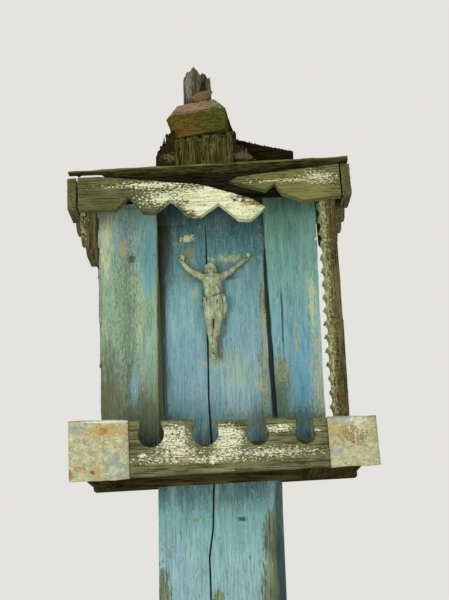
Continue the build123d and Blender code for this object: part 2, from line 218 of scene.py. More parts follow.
def coats(tree, ground, layers):
    ground = colour(ground) if isinstance(ground, str) else ground
    for mask, strength, tone in layers:
        tone = colour(tone) if isinstance(tone, str) else tone
        share = reckon(tree, "MULTIPLY", mask, strength)
        ground = add(tree, "Mix", {0: share, 6: ground, 7: tone}, data_type="RGBA").outputs[2]
    return ground


def stained(tree, ground, places):
    return coats(tree, ground, [(patch(tree, *place), strength, tone) for strength, tone, *place in places])


def surface(name, roughness, gloss=0.3):
    made = bpy.data.materials.new(name)
    made.use_nodes = True
    shader = made.node_tree.nodes["Principled BSDF"]
    shader.inputs["Roughness"].default_value = roughness
    shader.inputs["Specular IOR Level"].default_value = gloss
    return made, made.node_tree


def finish_surface(tree, tone, reliefs):
    shader = tree.nodes["Principled BSDF"]
    tree.links.new(tone, shader.inputs["Base Color"])
    normal = None
    for depth, height in reliefs:
        below = {} if normal is None else {"Normal": normal}
        normal = add(tree, "Bump", {"Height": height, "Distance": depth * MM, **below}).outputs[0]
    tree.links.new(normal, shader.inputs["Normal"])


print("bands waver by", WAVER, "mm")

# %% [markdown]
# The floor and the pale surroundings aren't part of the shrine. A Light Path node tells the camera's rays
# from all others, so the background can be brighter than the light it sheds.

# %% Floor and background
FLOOR_SIZE = 14
FLOOR_DROP = 2 * MM

bpy.ops.mesh.primitive_plane_add(size=FLOOR_SIZE, location=(0, 0, -FLOOR_DROP))
floor = bpy.context.object
floor.name = "floor"
paper, tree = surface("matt_studio_paper", 0.9, gloss=0.5)
tree.nodes["Principled BSDF"].inputs["Base Color"].default_value = colour("#D6D5D0")
floor.data.materials.append(paper)

world = bpy.data.worlds.new("pale_studio")
bpy.context.scene.world = world
world.use_nodes = True
tree = world.node_tree
tree.nodes.clear()
seen = add(tree, "LightPath").outputs["Is Camera Ray"]
shown = add(tree, "Background", {"Color": colour("#E9E8E4"), "Strength": 0.95}).outputs[0]
lighting = add(tree, "Background", {"Color": colour("#F4F6F5"), "Strength": 0.55}).outputs[0]
mixed = add(tree, "MixShader", {0: seen, 1: lighting, 2: shown}).outputs[0]
add(tree, "OutputWorld", {"Surface": mixed})
bpy.context.scene.view_settings.view_transform = "Standard"
print("floor", FLOOR_SIZE, "m wide, background", world.name)

# %% [markdown]
# The bare wood is squared pine, outdoors for decades. Rain and sun wash out the soft wood between the year
# rings, so the grain stands up in ridges with dark lines between them. The lines are drawn about 3 mm wide,
# because real ones are too fine for this distance.

# %% Bare pine
def pine(tree, tones, grain, shift=0):
    dark, middle, pale = tones
    streaks = spots(tree, grain, 0.38, 0.66, shift)
    lines = spots(tree, [length * 0.4 for length in grain], 0.54, 0.62, shift + 3)
    fibres = spots(tree, [length * 0.3 for length in grain], 0.56, 0.64, shift + 7)
    stain = spots(tree, (50, 50, 50), 0.45, 0.7, shift + 5)
    layers = [(streaks, 0.8, pale), (fibres, 0.4, pale), (stain, 0.55, dark), (lines, 0.75, dark)]
    return coats(tree, middle, layers), lines


def bare_pine(name, tones, grain, shift=0, depth=1.2, places=()):
    made, tree = surface(name, 0.9, gloss=0.0)
    tone, lines = pine(tree, tones, grain, shift)
    coarse = spots(tree, (40, 40, 40), 0.2, 0.8, shift + 8)
    finish_surface(tree, stained(tree, tone, places), [(depth * 2, coarse), (-depth, lines)])
    return made


print("pine with a grain of", GRAIN_UP, "mm")

# %% [markdown]
# The timbers differ in tone: brown under the floor and behind the box, a little greener on the roof, almost
# black on the rail below it and on the ridge boards. On the rail below the roof, the bearers and the back
# rail the dark tone is partly painted shade, because the low lamps light these undersides. Pale patches
# along the roof's front edge are a painted highlight.

# %% Bare timbers
ROOF_SLOPE = math.tan(math.radians(1.7))


def roof_top(board, across):
    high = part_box(board)[1]
    return high[2] - (high[0] - across) * ROOF_SLOPE


# The dark tones of the rail below the roof, the bearers and the back rail are partly painted shade.
under_pine = ("#1D1A0F", "#3B351B", "#574F30")
roof_pine = ("#1B1A0E", "#39371D", "#55522F")
rail_across = bare_pine("rotten_and_shaded_pine_rail", ("#100F08", "#1E2014", "#2E2E1D"), GRAIN_ACROSS, 1)
bearer_back = bare_pine("sawn_pine_bearer", under_pine, GRAIN_BACK, 2)
rail_level = bare_pine("sawn_pine_rail", under_pine, GRAIN_ACROSS, 3)
floor_across = bare_pine("sawn_pine_floor", ("#2C2A18", "#564F30", "#746E48"), GRAIN_ACROSS, 4)
# Painted highlight along the roof's front edge, where it catches the light.
lit_edge = []
for across in range(-300, 350, 100):
    height = roof_top("roof_board_front", across * MM) * METRE - 3
    lit_edge.append((0.5, "#707241", (across, height), (90, 4), 1.2, (30, 14, 5)))
roof_across = bare_pine("weathered_roof_board", roof_pine, GRAIN_ACROSS, 6, 2.0, lit_edge)
ridge_across = bare_pine("rotten_ridge_board", ("#0E0D06", "#1B190D", "#302C19"), GRAIN_ACROSS, 9, 2.5)
print("bare pine", len(bpy.data.materials), "materials so far")

# %% [markdown]
# The post and the boards behind the figure were painted light blue. Rain has washed the paint thin, and near
# the edges it has peeled. So the colour changes with height, and the low bands also hold painted shade
# behind the parapet. Fibres, cracks and dots lie over it, and each large peeled or stained place, and each
# painted shadow, is a patch of its own.

# %% Washed blue paint
def washed_blue(name, heights, wood, places, tints, speckled=0.6, flaking=(0.66, 0.7), shift=0):
    made, tree = surface(name, 0.7)
    bare, lines = pine(tree, wood, GRAIN_UP, shift)
    violet = spots(tree, (60, 60, 160), 0.52, 0.8, shift + 1)
    chalky = spots(tree, (20, 20, 120), 0.5, 0.7, shift + 2)
    grimy = spots(tree, (26, 26, 50), 0.5, 0.75, shift + 4)
    fibres = spots(tree, (1.8, 1.8, 20), 0.54, 0.66, shift + 3)
    cracks = spots(tree, (2.2, 2.2, 30), 0.57, 0.66, shift + 9)
    crumbs = spots(tree, (4, 4, 6), 0.67, 0.71, shift + 10)
    dabs = spots(tree, (3, 3, 8), 0.62, 0.67, shift + 11)
    holes = spots(tree, (3.6, 3.6, 9), 0.66, 0.7, shift + 5)
    paint = coats(tree, bands(tree, heights), [
        (violet, 0.5, tints[0]), (chalky, 0.4, tints[1]), (grimy, 0.35, "#4C685C"),
        (fibres, 0.28, "#B2C8C7"), (dabs, 0.5, "#BACFCD"), (cracks, speckled * 0.7, "#3C5E5C"),
        (crumbs, 0.7, "#CBD0B6"), (holes, speckled, "#37473D"),
    ])
    flakes = spots(tree, (9, 9, 26), *flaking, shift + 6)
    worn = any_of(tree, [flakes] + [patch(tree, *place[2:]) for place in places if place[1] == "bare"])
    # Patches that are not bare are stained places, and some are painted shade of gaps and painted shadows of
    # the arms.
    stains_and_painted_shade = [place for place in places if place[1] != "bare"]
    tone = stained(tree, coats(tree, paint, [(worn, 1, bare)]), stains_and_painted_shade)
    wavy = spots(tree, (45, 45, 160), 0.2, 0.8, shift)
    finish_surface(tree, tone, [(1.2, wavy), (-0.8, lines), (0.4, fibres), (-0.8, worn), (-0.6, holes)])
    return made


print("washed blue paint is ready")

# %% [markdown]
# The lists describe the surface: a height in millimetres with the colour there, and a place with its
# strength, its colour or the word bare, its middle across and up, its reach both ways, its scatter and its
# flakes. The paint is gone along the post's lower edges. The dark strips beside the boards are painted
# shade in the gaps between board and post, and the arms' shadows on the post are painted too.

# %% Blue paint of the post
post_heights = [
    (0, "#5E6E62"), (500, "#6E8A84"), (1500, "#7D9CA0"), (1700, "#80A8A6"), (1790, "#6B9A96"),
    # The heights from 1835 to 1950 are painted shade just below the box and behind the parapet.
    (1835, "#456C67"), (1900, "#33474D"), (1950, "#3C555C"), (1990, "#5C807F"), (2060, "#628E95"),
    (2150, "#78A0A5"), (2300, "#709C9F"), (2400, "#4E7A7D"), (2470, "#36615E"), (2560, "#26433D"),
]
post_places = [
    (1, "bare", (110, 1540), (26, 190), 1.2, SHREDS), (1, "bare", (112, 1730), (18, 70), 1.2, SHREDS),
    (1, "bare", (-132, 1560), (18, 120), 1.5, SHREDS), (1, "bare", (-10, 1615), (10, 22), 1.5, LONG),
    # Painted shade in the gap between the left board and the post.
    (0.9, "#2C372A", (-126, 2450), (22, 150), 0.9, (8, 8, 60), 0.5),
    (0.85, "#353720", (-132, 2200), (12, 320), 0.8, (6, 6, 60), 0.3),
    (0.8, "#666E4C", (112, 2300), (7, 44), 1.6, LONG),
    # Painted shade in the dark gap between the post and the right board.
    (0.95, "#1F2219", (121, 2330), (4, 110), 0.4, (5, 5, 50)),
    (0.95, "#1F2219", (126, 2190), (6, 140), 0.4, (5, 5, 50)),
    (0.95, "#1F2219", (132, 2050), (8, 130), 0.4, (5, 5, 50)),
    (0.6, "#66724D", (108, 2060), (9, 110), 2.2, SHREDS), (0.7, "#A9A57D", (98, 2092), (9, 14), 2),
    (0.7, "#9C9C6B", (112, 2170), (5, 180), 3.4),
    (0.95, "#2F4143", (132, 1560), (12, 330), 0.6, (8, 8, 60), 0.3),
    (0.6, "#475641", (-110, 2010), (40, 26), 2, LONG), (0.7, "#5A644B", (80, 2006), (60, 22), 2.5, LONG),
    (0.5, "#8FA584", (52, 2120), (30, 44), 1.5, (12, 12, 30), 0.6),
    (0.45, "#9CB5B6", (-58, 2080), (34, 34), 1.5, (20, 20, 40), 0.8),
    (0.4, "#547E90", (-84, 2100), (36, 100), 1.2, (20, 20, 60), 0.8),
    (0.4, "#A5BCC0", (50, 2060), (36, 60), 1.5, (20, 20, 60), 0.8),
    (0.9, "#C6C392", (-64, 2458), (14, 7), 2.8), (0.75, "#837C42", (-60, 2420), (9, 13), 3),
    (0.6, "#8B8A52", (-92, 2446), (12, 4), 2.8), (0.75, "#9CA873", (35, 2404), (36, 8), 3.2),
    (0.7, "#9FA684", (-54, 2318), (8, 12), 2.8),
    (0.55, "#6A683F", (-66, 2362), (30, 6), 1.5, (12, 12, 8), 0.5),
    (0.8, "#A9A26D", (-29, 2146), (7, 6), 2), (0.7, "#868352", (-2, 2160), (16, 14), 2, BITS, 0.4),
    (0.6, "#5A5D3B", (21, 2245), (4, 46), 2, BITS, 0.3), (0.6, "#67633D", (9, 2188), (6, 32), 2, BITS, 0.3),
    # Painted shadows of the arms on the post below them.
    (0.6, "#46533F", (-46, 2350), (24, 5), 1.4, (12, 12, 8), 0.6),
    (0.6, "#46533F", (40, 2356), (20, 5), 1.4, (12, 12, 8), 0.6),
    (0.6, "#4E5132", (-30, 2300), (5, 34), 1.6, BITS, 0.4),
    (0.6, "#4E5132", (21, 2310), (4, 30), 1.6, BITS, 0.4),
    (0.4, "#8FA584", (26, 2140), (24, 26), 2, (8, 8, 12), 0.6),
    (0.9, "#2C332A", (47, 1785), (10, 5), 1.2, BITS, 0.5), (0.7, "#8E885E", (11, 1817), (5, 6), 1.4, LONG),
    (0.6, "#7E6841", (-57, 1785), (8, 4), 1.4, LONG),
    (0.8, "#27403F", (0, 2545), (150, 40), 0.8, (30, 30, 30), 0.6),
]
post_wood = ("#36422E", "#5C6C4F", "#7E8A6B")
post_tints = ("#7E97A9", "#A9C3BC")
post_paint = washed_blue("washed_blue_post", post_heights, post_wood, post_places, post_tints, 0.45, shift=20)
print("places on the post", len(post_places))

# %% [markdown]
# The left board has faded to grey-green and is clear blue only high up at its right edge. The right board is
# greener at the top and blue low down, and its outer edge has lost its paint. The feet of both boards are
# painted dark as shade behind the parapet, and the left board has painted shade along its inner edge.

# %% Blue paint of the boards
left_heights = [
    # The two lowest heights are painted shade behind the parapet.
    (1900, "#232A2B"), (1960, "#2E3735"), (1990, "#5A6149"), (2060, "#6C7A62"), (2150, "#7E9780"),
    (2300, "#86A082"), (2420, "#8AA68A"), (2500, "#AEC8AD"), (2560, "#A6C3B0"),
]
left_places = [
    (0.5, "#62634A", (-281, 2200), (11, 280), 2.4, SHREDS),
    (0.4, "#5C5E46", (-250, 2110), (22, 110), 3, SHREDS, 0.4),
    (0.8, "#8CB9B6", (-170, 2520), (34, 120), 1.6, (12, 12, 50), 0.4),
    (0.85, "#639A9F", (-158, 2390), (22, 84), 1, (8, 8, 40), 0.3),
    (0.6, "#86ABB8", (-222, 2460), (22, 44), 2.2, (14, 14, 30), 0.5),
    (0.8, "#BAC396", (-262, 2470), (12, 90), 2.6, SHREDS),
    (0.6, "#A6B38E", (-182, 2270), (8, 90), 2.6, SHREDS),
    (0.5, "#4A573F", (-210, 2230), (18, 200), 5, (2.6, 2.6, 9)),
    (0.6, "#444F31", (-206, 2090), (10, 70), 2.6, SHREDS), (0.85, "#B0A26D", (-221, 2432), (7, 20), 2),
    (0.85, "#454E36", (-200, 2404), (8, 12), 1.6), (0.6, "#6FA6BC", (-193, 2080), (9, 40), 2.6, SHREDS),
    (0.85, "#56593B", (-262, 2040), (36, 110), 1.4, (8, 8, 50), 0.5),
    # Painted shade of the gap along the board's inner edge.
    (0.95, "#33351F", (-131, 2250), (8, 420), 0.5, (5, 5, 60)),
    (0.7, "#7A764D", (-140, 2250), (2, 420), 1.2, SHREDS),
    (0.6, "#4A4F36", (-170, 2024), (40, 44), 1.8, SHREDS, 0.5),
]
left_wood = ("#5C684B", "#849673", "#A0AF8E")
left_tints = ("#86A4A3", "#A9BB9D")
left_paint = washed_blue("washed_blue_left_board", left_heights, left_wood, left_places, left_tints,
                         flaking=(0.64, 0.69), shift=40)

right_heights = [
    # The two lowest heights are painted shade behind the parapet.
    (1900, "#2A3F4B"), (1955, "#36515E"), (1990, "#4C6E6D"), (2040, "#5C888A"), (2150, "#70A4AB"),
    (2280, "#72A4A3"), (2400, "#6A9C8C"), (2560, "#629279"),
]
right_places = [
    (0.85, "#B4B68C", (228, 2290), (7, 60), 3.4, SHREDS), (0.8, "#B0B38A", (190, 2190), (6, 34), 3, SHREDS),
    (0.75, "#A2A984", (234, 2090), (15, 110), 4, (5, 5, 14)),
    (0.9, "#C3C299", (250, 2100), (5, 130), 2.6, SHREDS),
    (0.8, "#566146", (148, 2070), (15, 84), 1.6, (8, 8, 30), 0.3),
    (0.65, "#969662", (150, 2120), (14, 24), 4),
    (0.5, "#5A98B6", (200, 2110), (18, 110), 1.8, (8, 8, 50), 0.5),
    (0.4, "#5C8DA3", (172, 2230), (9, 50), 1.4, SHREDS),
    (0.85, "#2C494B", (156, 2240), (2.5, 76), 1, (4, 4, 40)),
    (0.6, "#4A593F", (180, 2008), (70, 16), 2.6, SHREDS), (0.9, "#D9DABC", (246, 2442), (3, 4), 0.6),
    (0.6, "#7C8254", (250, 2330), (5, 40), 2.4, SHREDS),
]
right_wood = ("#5E6C4D", "#8C9871", "#B0B390")
right_tints = ("#788FAB", "#A5BCBC")
right_paint = washed_blue("washed_blue_right_board", right_heights, right_wood, right_places, right_tints,
                          speckled=0.5, flaking=(0.68, 0.72), shift=60)
print("places on the boards", len(left_places) + len(right_places))

# %% [markdown]
# The parapet and the fascia were painted cream on sawn boards. Such paint grows brittle and comes off in
# flakes along the grain. What is left are islands with crumbs round them, and olive-brown wood between. Small
# chips are cut out of both.

# %% Flaking cream paint
def flaking_cream(name, wood, islands, crumbs, paint, grain=GRAIN_ACROSS, shift=0, places=(),
                  chipped=(0.55, 0.6)):
    made, tree = surface(name, 0.8)
    bare, lines = pine(tree, wood, grain, shift)
    left = any_of(tree, [patch(tree, *island) for island in islands] + [spots(tree, *crumbs, shift + 1)])
    chips = spots(tree, (5, 5, 2.6), *chipped, shift + 4)
    crackle = spots(tree, (4, 4, 3), 0.56, 0.62, shift + 2)
    grime = spots(tree, (22, 22, 12), 0.45, 0.7, shift + 3)
    cream = coats(tree, paint[0], [(grime, 0.8, paint[1]), (crackle, 0.4, paint[2])])
    whole = reckon(tree, "SUBTRACT", left, chips, use_clamp=True)
    tone = stained(tree, coats(tree, bare, [(whole, 1, cream)]), places)
    wavy = spots(tree, (60, 60, 30), 0.2, 0.8, shift)
    finish_surface(tree, tone, [(2.0, wavy), (-1.1, lines), (0.8, whole)])
    return made


print("flaking cream paint is ready")

# %% [markdown]
# On the parapet the paint holds best between the notches and in a broken line below them. On the fascia it
# is whole only over the middle teeth, with crumbs out to both ends. The side boards have only crumbs.

# %% Cream boards
FLAKE = (7, 7, 3.4)
parapet_islands = [
    ((-98, 1940), (36, 28), 1.4, FLAKE), ((-86, 1912), (40, 12), 3.4, FLAKE),
    ((18, 1938), (36, 28), 1.1, FLAKE), ((20, 1908), (30, 12), 2.6, FLAKE),
    ((126, 1956), (28, 8), 2.4, FLAKE), ((-50, 1895), (112, 5), 5.4, FLAKE),
    ((116, 1906), (66, 8), 5.2, FLAKE), ((-10, 1893), (10, 9), 1.4), ((-160, 1905), (10, 5), 2.4, FLAKE),
    ((196, 1950), (18, 4), 3.4, FLAKE),
]
parapet_stains = [
    (0.85, "#AC9866", (-73, 1898), (9, 7), 1), (0.4, "#A3904F", (146, 1906), (10, 6), 2),
]
parapet_wood = ("#2A2B17", "#565933", "#7A7A4F")
parapet_tones = ("#D0D3B0", "#AFB18C", "#7C7D58")
parapet_cream = flaking_cream("flaked_cream_parapet", parapet_wood, parapet_islands, ((9, 9, 4), 0.69, 0.71),
                              parapet_tones, shift=80, places=parapet_stains)
side_wood = ("#262710", "#4A4C2A", "#68683F")
side_tones = ("#B4B692", "#989A75", "#787854")
side_cream = flaking_cream("flaked_cream_side_board", side_wood, [((0, 0), (1, 1))], ((9, 24, 5), 0.66, 0.69),
                           side_tones, GRAIN_BACK, 90)
fascia_islands = [
    ((-4, 2474), (58, 40), 0.9, (9, 9, 6)), ((66, 2450), (50, 28), 1, (9, 9, 6)),
    ((20, 2440), (44, 26), 0.8, (9, 9, 6)), ((-112, 2486), (38, 14), 4.6, FLAKE),
    ((-66, 2494), (34, 16), 4, FLAKE), ((-130, 2518), (70, 7), 4.6, FLAKE),
    ((176, 2521), (50, 3), 7, FLAKE), ((238, 2526), (32, 12), 4.2, FLAKE),
]
fascia_stains = [
    (0.9, "#7E5932", (112, 2470), (40, 9), 1.2, (14, 14, 6), 0.3),
    (0.55, "#8C9152", (20, 2424), (120, 6), 1.6),
    (0.45, "#857E41", (200, 2496), (86, 50), 1.2, (14, 14, 6), 0.5),
]
fascia_wood = ("#272810", "#4E5128", "#6C6C3B")
fascia_tones = ("#D8DBB0", "#C0C394", "#6E6A3F")
fascia_cream = flaking_cream("flaked_cream_fascia", fascia_wood, fascia_islands, ((7, 7, 4), 0.7, 0.72),
                             fascia_tones, shift=100, places=fascia_stains, chipped=(0.62, 0.65))
print("cream islands", len(parapet_islands) + len(fascia_islands))

# %% [markdown]
# The parapet's corners are wrapped in thin steel sheet, painted cream. Where the paint is broken, rust has
# stained it orange and the bare metal goes blue-grey, most of all along the top fold, where water stands,
# and low down at the left. Pale lines along the left sheet's top fold and front edge are painted highlights.

# %% Rusty painted sheet
def rusty_sheet(name, places, shift=0):
    made, tree = surface(name, 0.6)
    grime = spots(tree, (14, 14, 12), 0.42, 0.66, shift)
    grey = spots(tree, (16, 16, 14), 0.56, 0.64, shift + 1)
    halo = spots(tree, (13, 13, 11), 0.54, 0.66, shift + 2)
    crust = spots(tree, (6, 6, 5), 0.62, 0.67, shift + 3)
    crumbs = spots(tree, (4, 4, 4), 0.6, 0.64, shift + 7)
    freckles = spots(tree, (3, 3, 3), 0.6, 0.66, shift + 4)
    scratches = spots(tree, (20, 20, 3), 0.6, 0.66, shift + 6)
    tone = coats(tree, "#AEAE86", [
        (grime, 0.9, "#85865E"), (grey, 0.7, "#748482"), (scratches, 0.5, "#CDCEB2"), (halo, 0.65, "#A37F3A"),
        (crumbs, 0.5, "#D2D3B6"), (crust, 0.75, "#7A5125"), (freckles, 0.75, "#4A391F"),
    ])
    wavy = spots(tree, (50, 50, 50), 0.2, 0.8, shift + 5)
    finish_surface(tree, stained(tree, tone, places), [(3.0, wavy), (0.5, crust), (0.4, freckles)])
    return made


left_rust_and_highlights = [
    (0.7, "#A8863A", (-237, 1959), (42, 12), 2.6, (8, 8, 6)), (0.7, "#8F6A28", (-242, 1960), (10, 7), 1.6),
    (0.7, "#7B8B80", (-217, 1886), (22, 24), 2.2, (10, 10, 10)),
    (0.6, "#B9BDA0", (-222, 1875), (12, 8), 2.4), (0.7, "#A4853E", (-260, 1877), (12, 10), 2.2),
    (0.75, "#96702F", (-290, 1882), (12, 5), 2.2), (0.85, "#5E4320", (-265, 1874), (5, 5), 1.2),
    (0.8, "#8A6430", (-311, 1869), (7, 9), 1.6), (0.6, "#818D84", (-300, 1962), (18, 10), 2.2),
    # Painted highlights: a pale line along the top fold and one down the front edge.
    (0.8, "#DDD8CA", (-236, 1979), (52, 3), 0.6), (0.7, "#D3D3BC", (-319, 1915), (3, 80), 1.2),
]
right_rust = [
    (0.55, "#A5833F", (254, 1946), (40, 14), 4),
    (0.55, "#8D9E9F", (262, 1975), (26, 14), 2.4, (10, 10, 10)),
    (0.6, "#6E5430", (286, 1936), (22, 14), 4.6, (4, 4, 4)), (0.6, "#8A7847", (216, 1950), (4, 60), 2.4),
    (0.5, "#D8D9C4", (292, 1964), (12, 16), 4.4), (0.45, "#98A49F", (240, 1900), (30, 8), 4),
]
left_sheet = rusty_sheet("rusty_cream_sheet_left", left_rust_and_highlights, 120)
right_sheet = rusty_sheet("rusty_cream_sheet_right", right_rust, 131)
print("sheet metal ready")

# %% [markdown]
# The corner posts keep only crumbs of cream paint. The rest has no paint left: the cap block is orange-brown
# and dull green, with its right side painted dark as shade, the neck shows deep upright cracks, the stub of
# the cross is grey torn fibre with a hollow painted dark as shade, and the flap in front of it is rusty.

# %% Corner wood, cap, neck and stub
corner_flakes = [
    (0.8, "#8E8D5C", (247, 2250), (8, 330), 5), (0.6, "#717142", (242, 2250), (14, 330), 6),
    (0.5, "#B6BA90", (243, 2250), (8, 330), 5, (4, 4, 6), 0.15, 31),
    (0.5, "#6E5D36", (300, 2150), (12, 240), 6), (0.7, "#9A9B71", (-303, 2450), (8, 90), 5),
]
corner_tones = ("#241F0F", "#50482E", "#6B6342")
corner_wood = bare_pine("flaked_corner_post", corner_tones, GRAIN_UP, 140, 1.5, corner_flakes)
cap_stains_and_shade = [
    (0.6, "#6B4924", (-72, 2752), (46, 46), 1.2, (20, 20, 16), 0.6),
    (0.6, "#474F20", (24, 2768), (50, 60), 1.2, (16, 16, 16), 0.6),
    (0.8, "#A98871", (-64, 2842), (60, 22), 1.4, (16, 16, 8), 0.5),
    (0.6, "#969271", (10, 2842), (34, 16), 1.6, (16, 16, 8), 0.5),
    (0.7, "#9A8A62", (-20, 2722), (90, 3), 1.6),
    # Painted shade on the cap's right side.
    (0.95, "#1F1A0F", (60, 2800), (19, 100), 0.3, (12, 12, 12), 0.3),
]
cap_tones = ("#2A2311", "#4C4919", "#625D2C")
cap_wood = bare_pine("rotten_cap_block", cap_tones, (40, 12, 7), 150, 1.2, cap_stains_and_shade)
neck_stains = [
    (0.5, "#6E5B4B", (-70, 2580), (120, 14), 1.6), (0.5, "#464F1D", (30, 2620), (50, 50), 1.6, SHREDS),
]
neck_wood = bare_pine("cracked_neck", ("#131207", "#47461C", "#7C7843"), GRAIN_UP, 160, 3.0, neck_stains)
stub_stains_and_shade = [
    # Painted shade of a hollow in the torn end.
    (0.85, "#1B1910", (-20, 2905), (9, 34), 1.4, SHREDS, 0.4),
    (0.5, "#96937F", (-58, 2925), (8, 60), 2, SHREDS),
]
stub_wood = bare_pine("torn_grey_pine", ("#222118", "#4F4D38", "#75715E"), (5, 5, 90), 170, 2.5, stub_stains_and_shade)
rust_flap, tree = surface("rusted_flap", 0.75)
stained_rust = (spots(tree, (12, 12, 12), 0.45, 0.65, 181), 0.9, "#644F2E")
pale_rust = (spots(tree, (6, 6, 6), 0.6, 0.66, 182), 0.8, "#948460")
flap_tone = coats(tree, "#80633D", [stained_rust, pale_rust])
finish_surface(tree, flap_tone, [(0.8, spots(tree, (6, 6, 6), 0.3, 0.7, 183))])
print("rotten wood ready")

# %% [markdown]
# The figure is a cast of soft grey metal, once painted. The paint stays pale on what stands out, and grime
# and painted shade lie in the hollows. An Ambient Occlusion node measures how open a place is, so it finds
# the hollows, and small noise drawn out along the body does the rest.

# %% Cast metal with worn paint
HOLLOW_REACH = 9

cast_metal, tree = surface("worn_painted_casting", 0.6)
openness = add(tree, "AmbientOcclusion", {"Distance": HOLLOW_REACH * MM}, samples=8).outputs["AO"]
# Hollows are darkened, partly as grime and partly as painted shade.
hollow_dirt_and_shade = between(tree, openness, 0.8, 0.25)
cast_tone = coats(tree, "#868E69", [
    (spots(tree, (12, 12, 28), 0.46, 0.62, 191), 0.8, "#AAB396"),
    (spots(tree, (7, 7, 14), 0.5, 0.62, 190), 0.65, "#566249"),
    (spots(tree, (3, 3, 8), 0.58, 0.64, 193), 0.6, "#C3C9AD"),
    (patch(tree, (3, 2200), (5, 14), 1.6), 0.8, "#7E5B30"),
    (patch(tree, (-70, 2385), (26, 20), 2), 0.6, "#B5B282"),
    (hollow_dirt_and_shade, 0.8, "#3B3F2A"),
])
finish_surface(tree, cast_tone, [(0.5, spots(tree, (4, 4, 4), 0.3, 0.7, 192))])
print("casting", cast_metal.name)

# %% [markdown]
# Every solid gets the finish of its real part. Pieces made from the solids later inherit it.

# %% Finishes
def paint(piece, finish):
    piece.data.materials.clear()
    piece.data.materials.append(finish)


finishes = (
    (post_paint, "post upper_back_rail"), (left_paint, "back_board_left"),
    (right_paint, "back_board_right"), (parapet_cream, "parapet_front"),
    (side_cream, "parapet_left parapet_right fascia_left fascia_right"),
    (fascia_cream, "fascia_front_left fascia_front_right"), (left_sheet, "tin_corner_left"),
    (right_sheet, "tin_corner_right"), (corner_wood, "corner_post_right corner_post_left_stub"),
    (cap_wood, "cap_block"), (stub_wood, "cross_stub"), (rust_flap, "tin_curl"), (cast_metal, "corpus"),
    (rail_across, "upper_front_rail"), (rail_level, "lower_back_rail"),
    (floor_across, "floor_board_front floor_board_rear"),
    (ridge_across, "ridge_board_left ridge_board_right"),
    (bearer_back, "upper_bearer_left upper_bearer_right lower_bearer_left lower_bearer_right"),
    (roof_across, "roof_board_front roof_board_second roof_board_third"),
    (roof_across, "roof_board_left roof_board_right roof_board_rear"),
)
for finish, names in finishes:
    for name in names.split():
        paint(nodes[name], finish)
print("rows of finishes", len(finishes), "for", len(nodes), "solids")

# %% [markdown]
# A weathered board has rounded edges, ragged ends and a face ribbed along the grain. Each timber is copied,
# its loose triangles are joined, and the copy is remeshed to small even squares. A displacement then pushes
# them inwards by a noise stretched along the grain. Sculpting by hand is slower.

# %% Tools for timber
SAME_PLACE = 0.00001


def choose(*pieces):
    bpy.ops.object.select_all(action="DESELECT")
    for piece in pieces:
        piece.select_set(True)
    bpy.context.view_layer.objects.active = pieces[0]


def edit(piece, *steps):
    choose(piece)
    bpy.ops.object.mode_set(mode="EDIT")
    bpy.ops.mesh.select_all(action="SELECT")
    for operator, settings in steps:
        operator(**settings)
    bpy.ops.object.mode_set(mode="OBJECT")


def pick(piece, wanted):
    edit(piece, (bpy.ops.mesh.select_all, {"action": "DESELECT"}))
    for index, point in enumerate(piece.data.vertices):
        point.select = wanted(index, point.co)
    bpy.ops.object.mode_set(mode="EDIT")


def apply(piece, kind, **settings):
    choose(piece)
    modifier = piece.modifiers.new(kind.lower(), kind)
    for name, value in settings.items():
        setattr(modifier, name, value)
    bpy.ops.object.modifier_apply(modifier=modifier.name)


def remesh(piece, square):
    apply(piece, "REMESH", mode="VOXEL", voxel_size=square * MM)


def freeze():
    bpy.ops.object.transform_apply(location=True, rotation=True, scale=True)


def copy_of(node, name):
    piece = bpy.data.objects.new(name, nodes[node].data.copy())
    bpy.context.collection.objects.link(piece)
    edit(piece, (bpy.ops.mesh.remove_doubles, {"threshold": SAME_PLACE}))
    return piece


def joined(parts, name):
    choose(*parts)
    bpy.ops.object.join()
    piece = bpy.context.object
    piece.name = name
    freeze()
    return piece


def wear(piece, grain, depth, contrast=1.0, shift=0.0, direction="NORMAL"):
    relief = bpy.data.textures.new(piece.name + "_relief", "CLOUDS")
    relief.noise_scale = 1.0
    relief.noise_depth = 3
    relief.contrast = contrast
    bpy.ops.object.empty_add(location=(shift, shift, shift))
    ruler = bpy.context.object
    ruler.scale = [length * MM for length in grain]
    bpy.context.view_layer.update()
    apply(piece, "DISPLACE", texture=relief, texture_coords="OBJECT", texture_coords_object=ruler,
          strength=depth * MM, mid_level=1.0, direction=direction)
    bpy.data.objects.remove(ruler)


def place_piece(piece, slot, *replaced, angle=40):
    choose(piece)
    bpy.ops.object.shade_smooth_by_angle(angle=math.radians(angle))
    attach(piece, "root")
    if replaced:
        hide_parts(*replaced)


slots = {part["node"]: part["material_slot"] for part in frame["record"]["subparts"]}
print("slots", len(set(slots.values())))

# %% [markdown]
# Each row gives the run of the grain, the size of a square and the depth of wear in millimetres. Small pieces
# and the foremost boards get the finer squares. A noise along the grain makes ribs and a rounder one bends
# the edges, both moved by the length of the board's name, so that boards differ.

# %% Weathered boards
def weather(node, grain, square, depth):
    piece = copy_of(node, node + "_weathered")
    remesh(piece, square)
    wear(piece, [length * 0.8 for length in grain], depth, shift=0.013 * len(node))
    wear(piece, (45, 45, 45), depth * 0.8, shift=0.021 * len(node))
    place_piece(piece, slots[node], node)
    return piece


